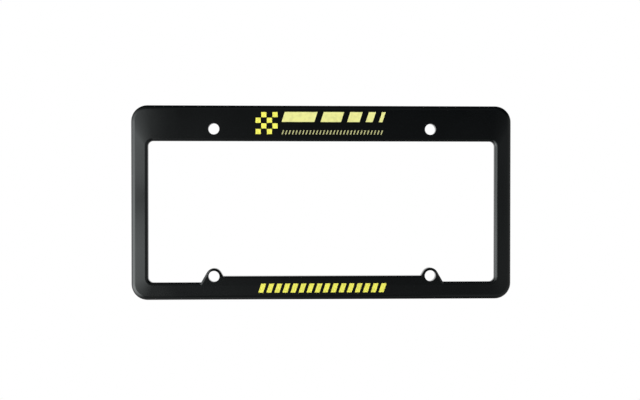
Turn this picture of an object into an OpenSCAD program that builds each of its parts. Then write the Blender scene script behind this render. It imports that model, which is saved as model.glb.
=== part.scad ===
// Number plate holder: one moulded plastic frame that clamps a number plate behind
// its window, printed in yellow on the top and bottom bars.
// It stands as it is used: X to the right, Z up, the face towards -Y.
// The origin is the centre of the four screw holes, on the plane that bears on the
// number plate. Every module draws lying on its back, with the back rim at height 0.

/* [Number plate] */
// Width of the number plate that the frame holds
plate_w = 304.8; // [300:0.1:310]
// Height of the number plate
plate_h = 152.4; // [150:0.1:156]
// Room between the plate's end and the side wall
plate_gap_x = 2.3; // [0.5:0.1:3]
// Room between the plate's long edge and the top and bottom walls
plate_gap_z = 1.7; // [0.5:0.1:3]
// Depth of the recess that takes the plate, from the back rim
recess_d = 2.2; // [1.5:0.1:3]

/* [Screw holes] */
// Distance between the left and right screw holes
hole_span_x = 177.8; // [170:0.1:185]
// Distance from the plate's long edge to the centre of a screw hole
hole_inset_z = 15.875; // [13:0.125:17]
// Diameter of a screw hole
hole_d = 9.0; // [7:0.1:10]
// Width of the break on a hole's front edge
hole_bevel = 0.3; // [0.2:0.1:0.8]
// Wall around a screw hole
boss_wall = 2.1; // [1.4:0.1:2.4]

/* [Frame] */
// Depth of the frame, from the back rim to the highest part of the face
frame_d = 7.5; // [7:0.1:9]
// Thickness of the outer wall
wall_t = 2.0; // [1.6:0.1:2.6]
// Thickness of the face
face_t = 2.0; // [1.6:0.1:2.6]
// Fall of a side bar's face, from the window to the outer edge
face_fall = 0.4; // [0.3:0.05:0.7]
// Radius of the outer corners, seen from the front
corner_r = 13.3; // [10:0.1:16]
// Radius of the outer front edge, which the falling face cuts off with a crease
edge_r = 5.5; // [4.5:0.1:6]
// Radius of the hollow's edge behind it
hollow_edge_r = 2.4; // [1.5:0.1:2.6]

/* [Window] */
// Width of a side bar
side_bar_w = 14.1; // [12.5:0.1:16]
// Width of the top bar
top_bar_w = 29.5; // [27.5:0.1:31]
// Width of the bottom bar at its ends
bottom_bar_w = 14.5; // [12.5:0.1:15.5]
// Radius of the window's corners
window_r = 4.1; // [3:0.1:8]
// Radius of the window's front edge
window_edge_r = 2.4; // [2:0.1:3.2]
// Thickness of the lip that bears on the plate
lip_t = 1.8; // [1.4:0.1:2.4]

/* [Strip and ears] */
// Height of the raised strip above the ends of the bottom bar
strip_h = 5.2; // [3:0.1:6]
// Width of the falling margin of the strip and the ears
margin_w = 1.5; // [0.8:0.1:1.8]
// Fall of that margin
margin_fall = 0.2; // [0.1:0.05:0.4]
// Slope of an ear's sides
ear_slope = 60; // [45:1:75]

/* [Print] */
// Thickness of the printed ink
ink_t = 0.1; // [0.08:0.01:0.15]
// Left end of the print on the top bar, from the middle
top_print_left = 55; // [50:1:60]
// Right end of the print on the top bar, from the middle
top_print_right = 52; // [45:1:60]
// Height of the chequered block
checker_h = 18.4; // [14:0.2:20]
// Squares along one side of the chequered block
checker_n = 4; // [2:1:5]
// Gap between the corners of neighbouring squares
checker_gap = 0.4; // [0.3:0.1:1]
// Space between the chequered block and the stripe
block_gap = 3; // [1:0.5:6]
// Height of the broken stripe
stripe_h = 8.2; // [5:0.1:10]
// Length of the first piece of the stripe
stripe_first = 29.5; // [20:0.5:34]
// How much shorter each next piece of the stripe is
stripe_ratio = 0.66; // [0.55:0.01:0.72]
// Pieces in the stripe
stripe_n = 5; // [3:1:6]
// Gap between the pieces of the stripe
stripe_gap = 2.4; // [1:0.1:4]
// Height of the row of fine strokes
hatch_h = 3.4; // [2:0.1:5]
// Distance from one fine stroke to the next
hatch_pitch = 2.8; // [2:0.1:5]
// Width of a fine stroke
hatch_w = 1.0; // [0.6:0.1:1.4]
// Length of the row of dashes on the bottom bar
dash_row_w = 106; // [60:1:120]
// Height of a dash
dash_h = 7.4; // [5:0.1:8]
// Distance from one dash to the next
dash_pitch = 6.6; // [5:0.1:9]
// Width of a dash
dash_w = 4.0; // [2:0.1:4.6]
// Lean of every stroke, from upright
lean = 18; // [0:1:30]

/* [Hidden] */
$fn = 128;

// How far a cut runs past what it cuts
through = 1;
// Thickness of the slices that a hull joins
slice_t = 0.01;
// How far the round of the window's edge would rise over the face, which cuts it off
edge_lift = 0.02;
// Sides of a full circle in the outlines that a hull joins
face_fn = 48;
ear_fn = 64;

frame_w = plate_w + 2 * (plate_gap_x + wall_t);
frame_h = plate_h + 2 * (plate_gap_z + wall_t);

// Distance between the upper and lower screw holes
hole_span_z = plate_h - 2 * hole_inset_z;

// The window's edges, from the centre of the screw holes
window_x = frame_w / 2 - side_bar_w;
window_top = frame_h / 2 - top_bar_w;
window_low = -frame_h / 2 + bottom_bar_w;
strip_top = window_low + strip_h;

// The ring of plastic around a hole, and where an ear's side leaves it
hole_r = hole_d / 2;
boss_r = hole_r + boss_wall;
ear_drop = -window_low - hole_span_z / 2;

// Height of the hollow behind the face, from the back rim
cavity_d = frame_d - face_fall - face_t;

// Print
top_print_mid = (frame_h / 2 + window_top) / 2;
stroke_left = checker_h + block_gap - top_print_left;
stripe_mid = top_print_mid + (checker_h - stripe_h) / 2;
hatch_mid = top_print_mid - (checker_h - hatch_h) / 2;
hatch_n = floor((top_print_right - stroke_left) / hatch_pitch);
dash_mid = (strip_top - frame_h / 2) / 2;
dash_n = floor(dash_row_w / dash_pitch);

// Stands up what is drawn lying on its back
module upright() {
    rotate([90, 0, 0])
        translate([0, 0, -recess_d])
            children();
}

module rounded_rectangle(w, h, r) {
    square([w - 2 * r, h], center = true);
    square([w, h - 2 * r], center = true);
    for (x = [-1, 1], y = [-1, 1])
        translate([x * (w / 2 - r), y * (h / 2 - r)])
            circle(r);
}

// Sweeps a section round a rectangle with round corners, and fills its middle.
// The section is drawn from a corner's centre outwards.
module swept_round(straight_x, straight_y, top) {
    translate([-straight_x / 2, -straight_y / 2, 0])
        cube([straight_x, straight_y, top]);
    for (turn = [0, 180])
        rotate([0, 0, turn]) {
            translate([straight_x / 2, straight_y / 2, 0])
                rotate([90, 0, 0])
                    linear_extrude(straight_y)
                        children();
            translate([-straight_x / 2, straight_y / 2, 0])
                rotate([90, 0, 90])
                    linear_extrude(straight_x)
                        children();
            translate([straight_x / 2, straight_y / 2, 0])
                rotate_extrude(angle = 90)
                    children();
            translate([-straight_x / 2, straight_y / 2, 0])
                rotate([0, 0, 90])
                    rotate_extrude(angle = 90)
                        children();
        }
}

// A slab with round corners and a round front edge
module rounded_slab(w, h, r, edge, top) {
    swept_round(w - 2 * r, h - 2 * r, top) {
        union() {
            square([r, top - edge]);
            square([r - edge, top]);
            translate([r - edge, top - edge])
                circle(edge);
        }
    }
}

// Everything under the face, which falls a little from the window to the outer edge.
// It reaches past the outer edge, so that only its top cuts the slab.
module under_face(lift = 0) {
    face_w = side_bar_w - window_edge_r;
    past = wall_t;
    low = frame_d - face_fall * (face_w + past) / face_w;
    translate([0, 0, lift])
        hull() {
            linear_extrude(low)
                rounded_rectangle(
                    frame_w + 2 * past,
                    frame_h + 2 * past,
                    corner_r + past,
                    $fn = face_fn
                );
            translate([0, 0, frame_d - slice_t])
                linear_extrude(slice_t)
                    window_outline(window_edge_r, $fn = face_fn);
        }
}

// The window's plain outline, moved outwards by grow
module window_outline(grow = 0) {
    translate([0, (window_top + window_low) / 2])
        rounded_rectangle(
            2 * (window_x + grow),
            window_top - window_low + 2 * grow,
            window_r + grow
        );
}

// Cuts the window and rounds its front edge
module window_cut() {
    tall = frame_d + 2 * through;
    round_low = through + frame_d + edge_lift - window_edge_r;
    flared = window_r + window_edge_r;
    window_h = window_top - window_low;
    translate([0, (window_top + window_low) / 2, -through])
        swept_round(2 * (window_x - window_r), window_h - 2 * window_r, tall) {
            union() {
                square([window_r, tall]);
                translate([0, round_low])
                    difference() {
                        square([flared, tall - round_low]);
                        translate([flared, 0])
                            circle(window_edge_r);
                    }
            }
        }
}

// The raised strip between the ears, with its falling margin
module strip() {
    base = window_low - window_edge_r;
    rotate([90, 0, 90])
        translate([0, 0, -hole_span_x / 2])
            linear_extrude(hole_span_x)
                polygon([
                    [base, recess_d],
                    [strip_top, recess_d],
                    [strip_top, frame_d - margin_fall],
                    [strip_top - margin_w, frame_d],
                    [base, frame_d]
                ]);
}

// One ear's outline: a ring on two straight sides that are tangent to it
module ear_outline(r) {
    side_x = r * sin(ear_slope);
    side_y = r * cos(ear_slope);
    foot_y = ear_drop + window_edge_r;
    foot_x = side_x + (foot_y + side_y) / tan(ear_slope);
    circle(r, $fn = ear_fn);
    polygon([
        [-side_x, side_y],
        [-foot_x, -foot_y],
        [foot_x, -foot_y],
        [side_x, side_y]
    ]);
}

// One lower screw hole's ear, from the plate up to the face
module ear() {
    hull() {
        translate([0, 0, recess_d])
            linear_extrude(frame_d - margin_fall - recess_d)
                ear_outline(boss_r);
        translate([0, 0, frame_d - slice_t])
            linear_extrude(slice_t)
                ear_outline(boss_r - margin_w);
    }
}

// The recess for the plate and the hollow behind the face, round the lip and the bosses
module back_cut() {
    difference() {
        translate([0, 0, -through])
            rounded_slab(
                frame_w - 2 * wall_t,
                frame_h - 2 * wall_t,
                corner_r - wall_t,
                hollow_edge_r,
                cavity_d + through
            );
        translate([0, 0, recess_d]) {
            linear_extrude(cavity_d)
                difference() {
                    window_outline(lip_t);
                    translate([-hole_span_x / 2, window_low - lip_t - through])
                        square([hole_span_x, strip_h + through]);
                }
            at_holes()
                cylinder(h = cavity_d, r = boss_r);
        }
    }
}

// Puts its children at each of the four screw holes
module at_holes() {
    for (x = [-1, 1], y = [-1, 1])
        translate([x * hole_span_x / 2, y * hole_span_z / 2, 0])
            children();
}

// One screw hole with the break on its front edge
module screw_hole() {
    translate([0, 0, -through])
        cylinder(h = frame_d + 2 * through, r = hole_r);
    translate([0, 0, frame_d - face_fall - hole_bevel])
        cylinder(
            h = face_fall + hole_bevel + through,
            r1 = hole_r - face_fall,
            r2 = hole_r + hole_bevel + through
        );
}

module frame() {
    color("#1b1c1e")
        upright()
            difference() {
                union() {
                    difference() {
                        intersection() {
                            rounded_slab(frame_w, frame_h, corner_r, edge_r, frame_d);
                            under_face();
                        }
                        window_cut();
                    }
                    strip();
                    for (x = [-1, 1])
                        translate([x * hole_span_x / 2, -hole_span_z / 2, 0])
                            ear();
                }
                back_cut();
                at_holes()
                    screw_hole();
            }
}

// A leaning stroke, its bottom left corner at the origin
module stroke(w, h) {
    shift = h * tan(lean);
    polygon([[0, 0], [w - shift, 0], [w, h], [shift, h]]);
}

// A layer of ink that follows the face, in the outline of its children
module ink() {
    difference() {
        intersection() {
            under_face(ink_t);
            linear_extrude(frame_d + through)
                children();
        }
        under_face();
    }
}

module top_print_outline() {
    cell = checker_h / checker_n;
    translate([-top_print_left, top_print_mid - checker_h / 2])
        for (i = [0:checker_n - 1], j = [0:checker_n - 1])
            if ((i + j) % 2 == 0)
                translate([(i + 0.5) * cell, (j + 0.5) * cell])
                    square(cell - checker_gap, center = true);
    for (i = [0:stripe_n - 1]) {
        before = stripe_first * (1 - pow(stripe_ratio, i)) / (1 - stripe_ratio);
        translate([stroke_left + before + i * stripe_gap, stripe_mid - stripe_h / 2])
            stroke(stripe_first * pow(stripe_ratio, i), stripe_h);
    }
    for (i = [0:hatch_n - 1])
        translate([stroke_left + i * hatch_pitch, hatch_mid - hatch_h / 2])
            stroke(hatch_w + hatch_h * tan(lean), hatch_h);
}

module top_print() {
    color("#f6ee3c")
        upright()
            ink()
                top_print_outline();
}

module bottom_print() {
    row_w = (dash_n - 1) * dash_pitch + dash_w + dash_h * tan(lean);
    color("#f6ee3c")
        upright()
            ink()
                for (i = [0:dash_n - 1])
                    translate([i * dash_pitch - row_w / 2, dash_mid - dash_h / 2])
                        stroke(dash_w + dash_h * tan(lean), dash_h);
}

frame();
top_print();
bottom_print();
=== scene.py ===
import bpy
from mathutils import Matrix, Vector


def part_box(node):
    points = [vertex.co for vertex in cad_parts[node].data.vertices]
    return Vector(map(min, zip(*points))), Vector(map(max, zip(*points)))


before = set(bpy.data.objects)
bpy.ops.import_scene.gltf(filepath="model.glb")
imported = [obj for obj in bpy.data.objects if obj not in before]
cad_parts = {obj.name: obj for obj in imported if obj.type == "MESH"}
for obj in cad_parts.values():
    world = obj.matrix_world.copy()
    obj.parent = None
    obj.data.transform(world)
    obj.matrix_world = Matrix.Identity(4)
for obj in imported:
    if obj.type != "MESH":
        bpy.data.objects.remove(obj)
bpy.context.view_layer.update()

faceCentre = Vector((0.0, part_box("frame")[0].y, 0.0))  # the middle of the highest part of the face
millimetre = 0.001


def linearFromHex(code):  # an sRGB hex colour, such as "#f2ef4e", as linear RGBA
    channels = []
    for start in (1, 3, 5):
        value = int(code[start:start + 2], 16) / 255
        channels.append(value / 12.92 if value <= 0.04045 else ((value + 0.055) / 1.055) ** 2.4)
    return (*channels, 1.0)


def addNode(tree, kind, settings=None, links=None):  # settings go to sockets or to the node itself
    node = tree.nodes.new(kind)
    for name, value in (settings or {}).items():
        if isinstance(name, str) and hasattr(node, name):
            setattr(node, name, value)
        else:
            node.inputs[name].default_value = value
    for name, source in (links or {}).items():
        tree.links.new(source, node.inputs[name])
    return node


def startMaterial(name):  # an empty material with its output and its place on the object
    material = bpy.data.materials.new(name)
    material.use_nodes = True
    tree = material.node_tree
    tree.nodes.clear()
    output = addNode(tree, "ShaderNodeOutputMaterial")
    place = addNode(tree, "ShaderNodeTexCoord").outputs["Object"]
    return material, tree, output, place


# The camera stands a little left of the middle and a little above it.
cameraView = {
    "distance": 0.750,  # from the face
    "left": 0.0296,
    "up": 0.0104,
    "aimLeft": 0.0021,  # the point of the face in the middle of the picture
    "aimUp": 0.0022,
    "lens": 51.46,
    "sensor": 36.0,
}


def makeCamera():
    data = bpy.data.cameras.new("photoCamera")
    data.lens = cameraView["lens"]
    data.sensor_width = cameraView["sensor"]
    camera = bpy.data.objects.new("photoCamera", data)
    bpy.context.scene.collection.objects.link(camera)
    camera.location = faceCentre + Vector((-cameraView["left"], -cameraView["distance"], cameraView["up"]))
    aim = faceCentre + Vector((-cameraView["aimLeft"], 0, cameraView["aimUp"]))
    camera.rotation_euler = (aim - camera.location).to_track_quat("-Z", "Y").to_euler()
    bpy.context.scene.camera = camera
    print("camera in place")


# The studio round the object. A light has its whole level where all its fades are full, and a
# fade runs from nothing at its first angle to full at its second. The angles are in degrees:
# "left" from straight in front, "side" the same to either side, "up" from level, and "tall" the
# same up or down.
studioDark = 0.02  # black cloth, behind the camera and overhead
studioLights = {
    "leftSoftbox": {"level": 2.4, "fades": (
        ("left", 30, 42), ("left", 130, 75), ("up", 16, -12), ("up", -72, -16))},
    "leftHalo": {"level": 2.1, "fades": (
        ("left", 30, 42), ("left", 130, 75), ("up", 62, 4), ("up", -72, -16))},
    "leftVeil": {"level": 0.08, "fades": (
        ("left", -4, 4), ("left", 30, 14), ("up", 40, 10), ("up", -60, -30))},
    "leftSpillUpper": {"level": 2.7, "fades": (
        ("left", 6.5, 15.6), ("left", 30, 16), ("up", 15, 1), ("up", -0.6, 1.6))},
    "leftSpillLower": {"level": 2.85, "fades": (
        ("left", 8.2, 15.6), ("left", 30, 16), ("up", 0, -2.2), ("up", -60, -30))},
    "rightReflector": {"level": 0.30, "fades": (
        ("left", -12.5, -22.5), ("left", -165, -130), ("up", 34, 6), ("up", -80, -50))},
    "frontCloth": {"level": 0.10, "fades": (("side", 50, 16), ("up", 10, 3), ("up", -22, -9))},
    "upperCloth": {"level": 0.17, "fades": (
        ("side", 110, 80), ("left", -60, 0), ("up", 10, 28), ("up", 80, 68))},
    "floorGlow": {"level": 0.14, "fades": (("up", -50, -88),)},
    "floorGlowLeft": {"level": 0.20, "fades": (("up", -2, -15), ("left", -80, 80))},
    "backdrop": {"level": 1.0, "fades": (("side", 125, 160), ("tall", 22, 8))},
}


def lightShare(tree, angles, light):  # how much of a light a direction sees
    share = None
    for angle, nothing, full in light["fades"]:
        fade = addNode(tree, "ShaderNodeMapRange",
                       {"interpolation_type": "SMOOTHSTEP", "From Min": nothing, "From Max": full},
                       {"Value": angles[angle]}).outputs[0]
        if share is not None:
            fade = addNode(tree, "ShaderNodeMath", {"operation": "MULTIPLY"}, {0: share, 1: fade}).outputs[0]
        share = fade
    return share


def directionAngles(tree):  # the direction of a ray, as the angles that the fades use
    direction = addNode(tree, "ShaderNodeTexCoord").outputs["Generated"]
    turned = addNode(tree, "ShaderNodeVectorMath",
                     {"operation": "MULTIPLY", 1: (-1.0, -1.0, 1.0)}, {0: direction})
    axes = addNode(tree, "ShaderNodeSeparateXYZ", {}, {0: turned.outputs[0]})
    across = addNode(tree, "ShaderNodeMath",
                     {"operation": "ARCTAN2"}, {0: axes.outputs[0], 1: axes.outputs[1]})
    above = addNode(tree, "ShaderNodeMath", {"operation": "ARCSINE"}, {0: axes.outputs[2]})
    angles = {}
    for radians, signed, whole in ((across, "left", "side"), (above, "up", "tall")):
        degrees = addNode(tree, "ShaderNodeMath", {"operation": "DEGREES"}, {0: radians.outputs[0]})
        size = addNode(tree, "ShaderNodeMath", {"operation": "ABSOLUTE"}, {0: degrees.outputs[0]})
        angles[signed] = degrees.outputs[0]
        angles[whole] = size.outputs[0]
    return angles


def makeWorld():
    world = bpy.data.worlds.new("photoStudio")
    world.use_nodes = True
    tree = world.node_tree
    tree.nodes.clear()
    angles = directionAngles(tree)
    shares = {name: lightShare(tree, angles, light) for name, light in studioLights.items()}
    total = None
    for name, light in studioLights.items():
        settings = {"operation": "MULTIPLY_ADD", 1: light["level"], 2: studioDark}
        links = {0: shares[name]} if total is None else {0: shares[name], 2: total}
        total = addNode(tree, "ShaderNodeMath", settings, links).outputs[0]
    # What looks straight at the backdrop sees it pure white: the camera, glass, and a gloss that faces it.
    path = addNode(tree, "ShaderNodeLightPath")
    gloss = addNode(tree, "ShaderNodeMath", {"operation": "MULTIPLY"},
                    {0: path.outputs["Is Glossy Ray"], 1: shares["backdrop"]}).outputs[0]
    direct = addNode(tree, "ShaderNodeMath", {"operation": "MAXIMUM"},
                     {0: path.outputs["Is Camera Ray"], 1: path.outputs["Is Transmission Ray"]}).outputs[0]
    white = addNode(tree, "ShaderNodeMath", {"operation": "MAXIMUM"}, {0: direct, 1: gloss}).outputs[0]
    strength = addNode(tree, "ShaderNodeMix", {"data_type": "FLOAT", 3: studioLights["backdrop"]["level"]},
                       {0: white, 2: total}).outputs[0]
    background = addNode(tree, "ShaderNodeBackground", {"Color": (1, 1, 1, 1)}, {"Strength": strength})
    output = addNode(tree, "ShaderNodeOutputWorld", {}, {"Surface": background.outputs[0]})
    output.is_active_output = True
    bpy.context.scene.world = world
    print("studio lit")


# A pale floor under the object, below what the camera sees. It pales to the white of the
# backdrop at its edges, as a paper sweep does.
floorPlan = {
    "drop": 0.30,
    "half": 0.45,
    "paleFrom": 0.10,  # the distances from the middle where it starts to pale, and is white
    "whiteAt": 0.44,
    "colour": "#ecebe8",
    "roughness": 0.9,
    "grain": 1.1,  # mm, the paper's fibres, drawn coarse
    "grainDepth": 0.05,  # mm
    "grainStrength": 0.3,
}
floorLamp = {"height": 0.9, "size": 0.9, "watts": 13.5}


def makeFloor():
    material, tree, output, place = startMaterial("paperSweepMatt")  # studio paper, quite matt
    grain = addNode(tree, "ShaderNodeTexNoise",
                    {"Scale": 1 / (floorPlan["grain"] * millimetre), "Detail": 2.0},
                    {"Vector": place}).outputs[0]
    bump = addNode(tree, "ShaderNodeBump",
                   {"Strength": floorPlan["grainStrength"],
                    "Distance": floorPlan["grainDepth"] * millimetre},
                   {"Height": grain}).outputs[0]
    paper = addNode(tree, "ShaderNodeBsdfPrincipled",
                    {"Base Color": linearFromHex(floorPlan["colour"]), "Roughness": floorPlan["roughness"]},
                    {"Normal": bump})
    reach = addNode(tree, "ShaderNodeVectorMath", {"operation": "LENGTH"}, {0: place}).outputs["Value"]
    paling = addNode(tree, "ShaderNodeMapRange",
                     {"From Min": floorPlan["paleFrom"], "From Max": floorPlan["whiteAt"]},
                     {"Value": reach}).outputs[0]
    path = addNode(tree, "ShaderNodeLightPath")
    seen = addNode(tree, "ShaderNodeMath", {"operation": "MAXIMUM"},
                   {0: path.outputs["Is Camera Ray"], 1: path.outputs["Is Transmission Ray"]}).outputs[0]
    white = addNode(tree, "ShaderNodeMath", {"operation": "MULTIPLY"}, {0: paling, 1: seen}).outputs[0]
    backdrop = addNode(tree, "ShaderNodeEmission", {"Color": (1, 1, 1, 1), "Strength": 1.0})
    sweep = addNode(tree, "ShaderNodeMixShader", {}, {0: white, 1: paper.outputs[0], 2: backdrop.outputs[0]})
    tree.links.new(sweep.outputs[0], output.inputs["Surface"])
    half = floorPlan["half"]
    mesh = bpy.data.meshes.new("floor")
    corners = [(-half, -half, 0), (half, -half, 0), (half, half, 0), (-half, half, 0)]
    mesh.from_pydata(corners, [], [(0, 1, 2, 3)])
    mesh.materials.append(material)
    floor = bpy.data.objects.new("floor", mesh)
    floor.location = (0, 0, -floorPlan["drop"])
    floor.visible_glossy = False  # the moulding's lower edges reflect the dark studio, as in the photograph
    bpy.context.scene.collection.objects.link(floor)
    lamp = bpy.data.lights.new("floorLamp", "AREA")
    lamp.size = floorLamp["size"]
    lamp.energy = floorLamp["watts"]
    light = bpy.data.objects.new("floorLamp", lamp)
    light.location = (0, 0, floorLamp["height"])
    light.visible_glossy = False  # it lights the floor alone, and the moulding's top edge stays dark
    bpy.context.scene.collection.objects.link(light)
    print("floor laid")


# Black ABS, injection moulded in a polished tool: a smooth soft gloss over a deep black,
# with a faint orange peel and the slight waviness of a thin moulding.
absBlack = {
    "deep": "#030405",
    "worn": "#07090a",
    "ior": 1.50,
    "gleam": "#f8fffe",  # the cool cast of the gloss
    "roughness": (0.09, 0.13),
    "clouds": 26.0,  # mm, the handling marks in the gloss
    "cloudSpan": (0.3, 0.7),  # the noise values that have the two roughnesses
    "peel": 1.6,  # mm, drawn coarse enough to show
    "peelDepth": 0.0022,  # mm
    "wave": 62.0,  # mm
    "waveDepth": 0.60,  # mm
    "waveSeed": 7.3,  # picks another pattern of waves
}


def makePlastic():
    material, tree, output, place = startMaterial("blackAbsInjectionMoulded")
    clouds = addNode(tree, "ShaderNodeTexNoise",
                     {"Scale": 1 / (absBlack["clouds"] * millimetre), "Detail": 3.0, "Roughness": 0.55},
                     {"Vector": place}).outputs[0]
    deep, worn = linearFromHex(absBlack["deep"]), linearFromHex(absBlack["worn"])
    colour = addNode(tree, "ShaderNodeMix", {"data_type": "RGBA", 6: deep, 7: worn}, {0: clouds}).outputs[2]
    dull = addNode(tree, "ShaderNodeMapRange",
                   {"From Min": absBlack["cloudSpan"][0], "From Max": absBlack["cloudSpan"][1],
                    "To Min": absBlack["roughness"][0], "To Max": absBlack["roughness"][1]},
                   {"Value": clouds}).outputs[0]
    wave = addNode(tree, "ShaderNodeTexNoise",
                   {"noise_dimensions": "4D", "Scale": 1 / (absBlack["wave"] * millimetre), "Detail": 0.0,
                    "W": absBlack["waveSeed"]},
                   {"Vector": place}).outputs[0]
    warped = addNode(tree, "ShaderNodeBump",
                     {"Strength": 1.0, "Distance": absBlack["waveDepth"] * millimetre},
                     {"Height": wave}).outputs[0]
    peel = addNode(tree, "ShaderNodeTexNoise",
                   {"Scale": 1 / (absBlack["peel"] * millimetre), "Detail": 2.0},
                   {"Vector": place}).outputs[0]
    skin = addNode(tree, "ShaderNodeBump",
                   {"Strength": 1.0, "Distance": absBlack["peelDepth"] * millimetre},
                   {"Height": peel, "Normal": warped}).outputs[0]
    plastic = addNode(tree, "ShaderNodeBsdfPrincipled",
                      {"IOR": absBlack["ior"], "Specular Tint": linearFromHex(absBlack["gleam"])},
                      {"Base Color": colour, "Roughness": dull, "Normal": skin})
    tree.links.new(plastic.outputs[0], output.inputs["Surface"])
    return material


# Screen printing ink: a flat film with a faint satin, and the weave of its screen in it.
printInk = {
    "inks": {"lemon": "#faf764", "pale": "#efee98", "cream": "#bab983"},
    "thin": 0.90,  # how much darker the ink is where it lies thin
    "ior": 1.5,
    "roughness": (0.36, 0.46),
    "patches": 4.0,  # mm
    "patchSpan": (0.35, 0.5),  # the noise values where the ink is thin and full
    "mesh": 0.6,  # mm, twice the pitch of a real screen, so that it shows
    "meshDepth": 0.004,  # mm
}


def makeInk(shade):
    material, tree, output, place = startMaterial(shade + "ScreenInk")
    full = linearFromHex(printInk["inks"][shade])
    thin = (*(channel * printInk["thin"] for channel in full[:3]), 1.0)
    patches = addNode(tree, "ShaderNodeTexNoise",
                      {"Scale": 1 / (printInk["patches"] * millimetre), "Detail": 4.0},
                      {"Vector": place}).outputs[0]
    cover = addNode(tree, "ShaderNodeMapRange",
                    {"From Min": printInk["patchSpan"][0], "From Max": printInk["patchSpan"][1]},
                    {"Value": patches}).outputs[0]
    colour = addNode(tree, "ShaderNodeMix", {"data_type": "RGBA", 6: thin, 7: full}, {0: cover}).outputs[2]
    dull = addNode(tree, "ShaderNodeMapRange",
                   {"To Min": printInk["roughness"][0], "To Max": printInk["roughness"][1]},
                   {"Value": patches}).outputs[0]
    weave = addNode(tree, "ShaderNodeTexVoronoi",
                    {"Scale": 1 / (printInk["mesh"] * millimetre), "Randomness": 0.15},
                    {"Vector": place}).outputs["Distance"]
    bump = addNode(tree, "ShaderNodeBump",
                   {"Strength": 1.0, "Distance": printInk["meshDepth"] * millimetre},
                   {"Height": weave}).outputs[0]
    ink = addNode(tree, "ShaderNodeBsdfPrincipled", {"IOR": printInk["ior"]},
                  {"Base Color": colour, "Roughness": dull, "Normal": bump})
    tree.links.new(ink.outputs[0], output.inputs["Surface"])
    return material


def dressFrame():
    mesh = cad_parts["frame"].data
    mesh.materials.clear()
    mesh.materials.append(makePlastic())
    print("frame dressed")


def dressPrint():
    lemon, pale, cream = (makeInk(shade) for shade in ("lemon", "pale", "cream"))
    for name in ("top_print", "bottom_print"):
        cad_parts[name].data.materials.clear()
    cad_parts["bottom_print"].data.materials.append(lemon)
    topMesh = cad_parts["top_print"].data
    for ink in (lemon, pale, cream):
        topMesh.materials.append(ink)
    low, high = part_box("top_print")
    blockRight = low.x + high.z - low.z  # the chequered block is as wide as it is high
    middle = (low.z + high.z) / 2
    for face in topMesh.polygons:
        if face.center.x < blockRight:
            face.material_index = 0
        elif face.center.z > middle:
            face.material_index = 1
        else:
            face.material_index = 2
    print("print inked")


makeCamera()
makeWorld()
makeFloor()
dressFrame()
dressPrint()
bpy.context.scene.view_settings.view_transform = "Standard"
